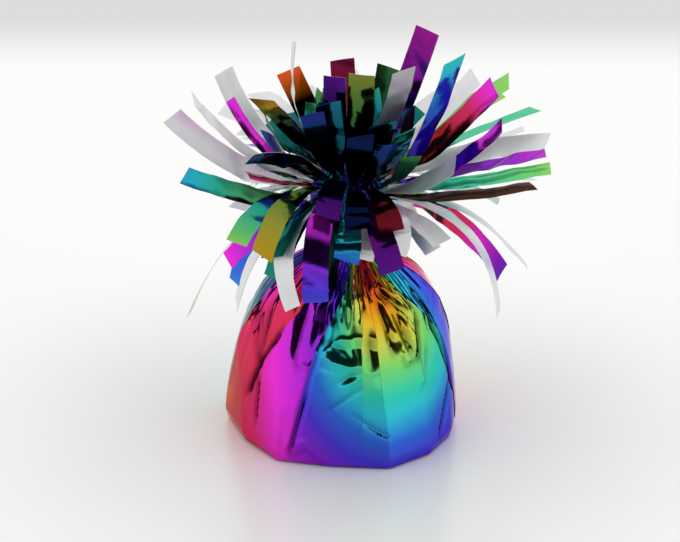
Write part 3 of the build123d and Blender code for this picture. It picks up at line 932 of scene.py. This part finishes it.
def make_wrap(dice):
    """The sheet gathered round the slug: flat floor, panels between pleats, and film tucked under each."""
    side_heights = np.linspace(HEM_HEIGHT, NECK_TOP, SIDE_ROWS)
    heights = np.concatenate([np.zeros(len(FLOOR_RADII)), FOOT_HEIGHTS, side_heights])
    edge_row = len(FLOOR_RADII) - 1
    columns = wrap_columns()
    piece = add_film("wrap_film", len(columns), len(heights) - 1)
    across, share = film_places(piece)
    column = np.rint((across + 1) / 2 * len(columns)).astype(int) % len(columns)
    row_index = np.rint(share * (len(heights) - 1)).astype(int)
    height = heights[row_index]
    radius = wrap_profile(height)
    risen = heights[edge_row:]
    runs = np.hypot(np.diff(wrap_profile(risen)), np.diff(risen))
    meridian = np.concatenate([FLOOR_RADII, FLOOR_RADII[-1] + np.cumsum(runs)])
    azimuth, print_azimuth, stand, light = np.zeros((4, len(height)))
    for c, (k, part, along) in enumerate(columns):
        here = column == c
        reach = np.maximum(meridian[row_index[here]], LEAST_REACH)
        folded = fold_column(k, part, along, height[here], radius[here], reach)
        azimuth[here], print_azimuth[here], stand[here] = folded
        # Painted shade of the panel right of the pleat.
        light[here] = PLEATS[k].light
    outer = radius + stand
    outer += (base_radius(azimuth) - BASE_RADIUS) * np.clip(1 - height / CORNER_HEIGHT, 0, 1)
    waves = np.sin(np.radians(azimuth) * FLUTTER_WAVES + 1.5 * np.sin(height * 0.3))
    outer += at_height(FLUTTER, height) * waves
    depth, dark = wrap_creases(azimuth, height, radius, dice)
    outer += depth * at_height(CREASE_SHARES, height)
    floor = FLOOR_RADII[np.minimum(row_index, edge_row)] * base_radius(azimuth) / BASE_RADIUS
    outer = np.where(row_index <= edge_row, floor, outer)
    lean = NECK_LEAN * np.minimum(1.0, height / NECK_HEIGHT) ** 2
    a = np.radians(azimuth)
    points = np.column_stack([lean + outer * np.cos(a), outer * np.sin(a), height])
    phase = meridian[row_index] * np.cos(np.radians(print_azimuth + RAINBOW_TURN)) / RAINBOW_PERIOD
    # Painted shade of the panels and of the crease valleys goes into the print's second UV axis.
    lay_film(piece, points, phase, light * (1 - VALLEY_PAINTED_SHADE * dark))
    close_seams()
    piece.data.materials.append(wrap_finish)
    smooth(piece, 32)
    return piece


def make_bunch():
    """Film gathered in the neck and swelling into the crown that the strips spread from."""
    in_neck = np.linspace(BUNCH_FOOT, NECK_TOP, NECK_ROWS)
    in_ball = np.linspace(BALL_FOOT, BALL_TOP, BALL_ROWS)
    heights = np.concatenate([in_neck, in_ball, [BUNCH_TOP]])
    piece = add_film("bunch_film", BUNCH_COLUMNS, len(heights) - 1)
    across, share = film_places(piece)
    row = np.rint(share * (len(heights) - 1)).astype(int)
    height = heights[row]
    a = (across + 1) * math.pi
    ball = np.sqrt(np.maximum(0.0, BALL_RADIUS**2 - (height - CROWN_MIDDLE[2]) ** 2))
    radius = np.where(height <= NECK_TOP, at_height(NECK_RADII, height), ball * BALL_SHARE)
    pleat = np.abs(np.sin(BUNCH_PLEATS / 2 * a + 0.8 * np.sin(height * 0.4))) - 0.5
    radius = radius * (1 + PLEAT_DEPTH * pleat)
    points = np.column_stack([NECK_LEAN + radius * np.cos(a), radius * np.sin(a), height])
    phase = BUNCH_PRINT + 0.1 * np.sin(3 * a + height * 0.2)
    # Painted shade over the whole bunch.
    lay_film(piece, points, phase, np.full_like(phase, BUNCH_PAINTED_SHADE))
    close_seams()
    piece.data.materials.append(film_finish)
    smooth(piece, 50)
    return piece


def make_slug():
    """The cast ballast: a tapered slug with a rounded foot and shoulder and a shallow dished top."""
    deselect()
    middle = (0, 0, SLUG_MIDDLE * MM)
    radius, depth = SLUG_RADIUS * MM, SLUG_HEIGHT * MM
    bpy.ops.mesh.primitive_cylinder_add(vertices=72, radius=radius, depth=depth, location=middle)
    piece = bpy.context.object
    piece.name = "cast_slug"
    bpy.ops.object.transform_apply(location=True, rotation=True, scale=True)
    bpy.ops.object.mode_set(mode="EDIT")
    bpy.ops.mesh.select_mode(type="FACE")
    bpy.ops.mesh.select_all(action="DESELECT")
    bpy.ops.object.mode_set(mode="OBJECT")
    for facet in piece.data.polygons:
        facet.select = facet.normal.z > 0.9
    bpy.ops.object.mode_set(mode="EDIT")
    bpy.ops.transform.resize(value=(SLUG_TOP_SHARE, SLUG_TOP_SHARE, 1))
    bpy.ops.mesh.inset(thickness=SLUG_RIM * MM)
    bpy.ops.transform.translate(value=(0, 0, -SLUG_DISH * MM))
    bpy.ops.object.mode_set(mode="OBJECT")
    rounded = piece.modifiers.new("rounded", "BEVEL")
    rounded.width = SLUG_ROUNDING * MM
    rounded.segments = 3
    rounded.angle_limit = math.radians(30)
    bpy.ops.object.modifier_apply(modifier=rounded.name)
    piece.data.materials.append(casting)
    smooth(piece, 40)
    return piece


def make_floor():
    """A pale glossy floor, darker far behind. Away from the object it glows a little to the camera and in
    reflections: painted light that no lamp gives."""
    deselect()
    bpy.ops.mesh.primitive_plane_add(size=FLOOR_SIZE, location=(0, 0, -0.0002))
    floor = bpy.context.object
    floor.name = "floor"
    paper, nodes, links, shader = new_material("pale_floor")
    shader.inputs["Roughness"].default_value = 0.26
    shader.inputs["Specular IOR Level"].default_value = 1.0
    shader.inputs["Emission Color"].default_value = (1.0, 1.0, 1.0, 1.0)
    place = add_node(nodes, "ShaderNodeTexCoord")
    split = add_node(nodes, "ShaderNodeSeparateXYZ")
    fade = map_range(nodes, FAR_BAND, kind="SMOOTHSTEP")
    tone = add_node(nodes, "ShaderNodeMix", data_type="RGBA")
    tone.inputs[MIX_FIRST].default_value = linear(*FLOOR_COLOUR)
    tone.inputs[MIX_SECOND].default_value = linear(*FAR_COLOUR)
    links.new(place.outputs["Object"], split.inputs["Vector"])
    links.new(split.outputs["Y"], fade.inputs["Value"])
    links.new(fade.outputs["Result"], tone.inputs["Factor"])
    links.new(tone.outputs[MIX_RESULT], shader.inputs["Base Color"])
    ray = add_node(nodes, "ShaderNodeLightPath")
    mirrored = add_node(nodes, "ShaderNodeMath", operation="MAXIMUM")
    seen = add_node(nodes, "ShaderNodeMath", operation="MAXIMUM")
    away = add_node(nodes, "ShaderNodeVectorMath", operation="LENGTH")
    # Painted light: an emitted glow that fades in away from the object, seen by the camera and in
    # reflections.
    pale = map_range(nodes, GLOW_REACH, (0.0, PAINTED_GLOW), "SMOOTHSTEP")
    glow = add_node(nodes, "ShaderNodeMath", operation="MULTIPLY")
    links.new(ray.outputs["Is Glossy Ray"], mirrored.inputs[0])
    links.new(ray.outputs["Is Transmission Ray"], mirrored.inputs[1])
    links.new(ray.outputs["Is Camera Ray"], seen.inputs[0])
    links.new(mirrored.outputs["Value"], seen.inputs[1])
    links.new(place.outputs["Object"], away.inputs[0])
    links.new(away.outputs["Value"], pale.inputs["Value"])
    links.new(seen.outputs["Value"], glow.inputs[0])
    links.new(pale.outputs["Result"], glow.inputs[1])
    links.new(glow.outputs["Value"], shader.inputs["Emission Strength"])
    floor.data.materials.append(paper)
    return floor


def hang_tent():
    """White light all round, with a dark round opening in front, above the floor's edge, that the film
    mirrors."""
    world = bpy.data.worlds.new("light_tent")
    bpy.context.scene.world = world
    world.use_nodes = True
    nodes, links = world.node_tree.nodes, world.node_tree.links
    nodes.clear()
    tent = add_node(nodes, "ShaderNodeBackground", Strength=1.0)
    out = add_node(nodes, "ShaderNodeOutputWorld")
    place = add_node(nodes, "ShaderNodeTexCoord")
    toward = add_node(nodes, "ShaderNodeVectorMath", operation="DOT_PRODUCT")
    toward.inputs[1].default_value = tuple(TO_CAMERA)
    clear, dim = OPENING_EDGE
    edge = (math.cos(math.radians(dim)), math.cos(math.radians(clear)))
    opening = map_range(nodes, edge, kind="SMOOTHSTEP")
    split = add_node(nodes, "ShaderNodeSeparateXYZ")
    sill = [math.sin(math.radians(rise)) for rise in OPENING_SILL]
    above = map_range(nodes, sill, kind="SMOOTHSTEP")
    hole = add_node(nodes, "ShaderNodeMath", operation="MULTIPLY")
    shade = map_range(nodes, to=(1.0, OPENING_LIGHT))
    links.new(place.outputs["Generated"], toward.inputs[0])
    links.new(place.outputs["Generated"], split.inputs["Vector"])
    links.new(toward.outputs["Value"], opening.inputs["Value"])
    links.new(split.outputs["Z"], above.inputs["Value"])
    links.new(opening.outputs["Result"], hole.inputs[0])
    links.new(above.outputs["Result"], hole.inputs[1])
    links.new(hole.outputs["Value"], shade.inputs["Value"])
    links.new(shade.outputs["Result"], tent.inputs["Color"])
    links.new(tent.outputs["Background"], out.inputs["Surface"])


# Camera at the photograph's place

eye = VIEW_TARGET + VIEW_DISTANCE * TO_CAMERA
bpy.ops.object.camera_add(location=tuple(eye), rotation=(math.radians(90 - VIEW_RISE), 0, 0))
camera = bpy.context.object
camera.data.lens = VIEW_LENS
camera.data.sensor_width = 36.0
camera.data.sensor_fit = "HORIZONTAL"
bpy.context.scene.camera = camera

film_finish = rainbow_film("rainbow_film", 0.12, 0.35)
wrap_finish = rainbow_film("rainbow_wrap", 0.10, 0.12)
silver_finish = silver_film()
casting = casting_finish()

# The fringe

dice = np.random.default_rng(7)
standing = {name: Strip(*row[:6]) for name, row in STRIPS.items()}
for name, row in STRIPS.items():
    strip = Strip(*row[:4], row[4] + MORE_TURN.get(name, 0), row[5])
    # Painted shade for this strip's print, from root to tip.
    light = STRIP_PAINTED_SHADE.get(name, PLAIN_PAINTED_SHADE)
    fold, crease = FOLDS.get(name), name in CREASED
    piece = make_strip(f"{name}_film", strip, *row[6:9], light, dice, STRIP_ROWS, fold, crease)
    node = f"{name}_strip"
    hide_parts(node)
    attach(piece, node if row[5] else "weight")

groups = {half: [] for half in INNER_HALVES}
for strip in inner_strips(np.vstack([strip.reached() for strip in standing.values()])):
    half = half_of(strip)
    face, root, tip, light, fold = inner_look(strip, half, dice)
    name = f"inner_{half}_{len(groups[half])}"
    groups[half].append(make_strip(name, strip, face, root, tip, light, dice, INNER_ROWS, fold))

for half, pieces in groups.items():
    joined = join(pieces, f"{half}_inner_film")
    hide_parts(f"{half}_inner_fringe")
    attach(joined, "weight")

# Wrap, bunch, slug and tie

wrap = make_wrap(np.random.default_rng(3))
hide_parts("foil_wrap")
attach(wrap, "weight")

bunch = make_bunch()
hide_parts("neck_bunch")
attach(bunch, "weight")

slug = make_slug()
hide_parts("weight_slug")
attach(slug, "weight")

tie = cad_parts["neck_tie"]
tie.data.materials.clear()
tie.data.materials.append(tie_finish())

# Floor and light

floor = make_floor()
hang_tent()
bpy.context.scene.view_settings.view_transform = "Standard"
